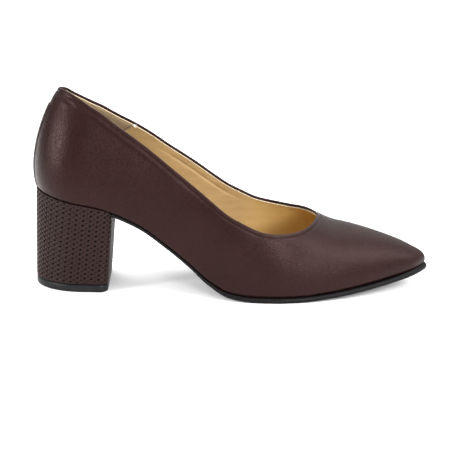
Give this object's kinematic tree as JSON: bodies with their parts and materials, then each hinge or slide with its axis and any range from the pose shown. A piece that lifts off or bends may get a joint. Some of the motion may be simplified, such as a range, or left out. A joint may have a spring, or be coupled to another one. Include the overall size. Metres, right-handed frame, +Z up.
{
  "type": "block heel pump",
  "caption": "Pointed-toe leather pump for the right foot, open at the collar, on a covered block heel with a thin outsole.",
  "frame": {"origin": "bottom centre of the shoe's box, on the floor", "axes": "+X towards the toe, -Y towards the outer (lateral) side, +Z up"},
  "size_m": [0.2444, 0.0788, 0.122],
  "materials": {
    "smooth_leather": "smooth dark brown calf, soft sheen",
    "woven_leather": "dark brown leather embossed with a diagonal weave",
    "insole_leather": "matte tan lining leather",
    "sole_rubber": "black, satin",
    "tip_rubber": "black, satin"
  },
  "bodies": {
    "root": {"upper": "smooth_leather", "back_strip": "woven_leather", "insole": "insole_leather", "outsole": "sole_rubber", "heel": "woven_leather", "heel_tip": "tip_rubber"}
  },
  "joints": []
}
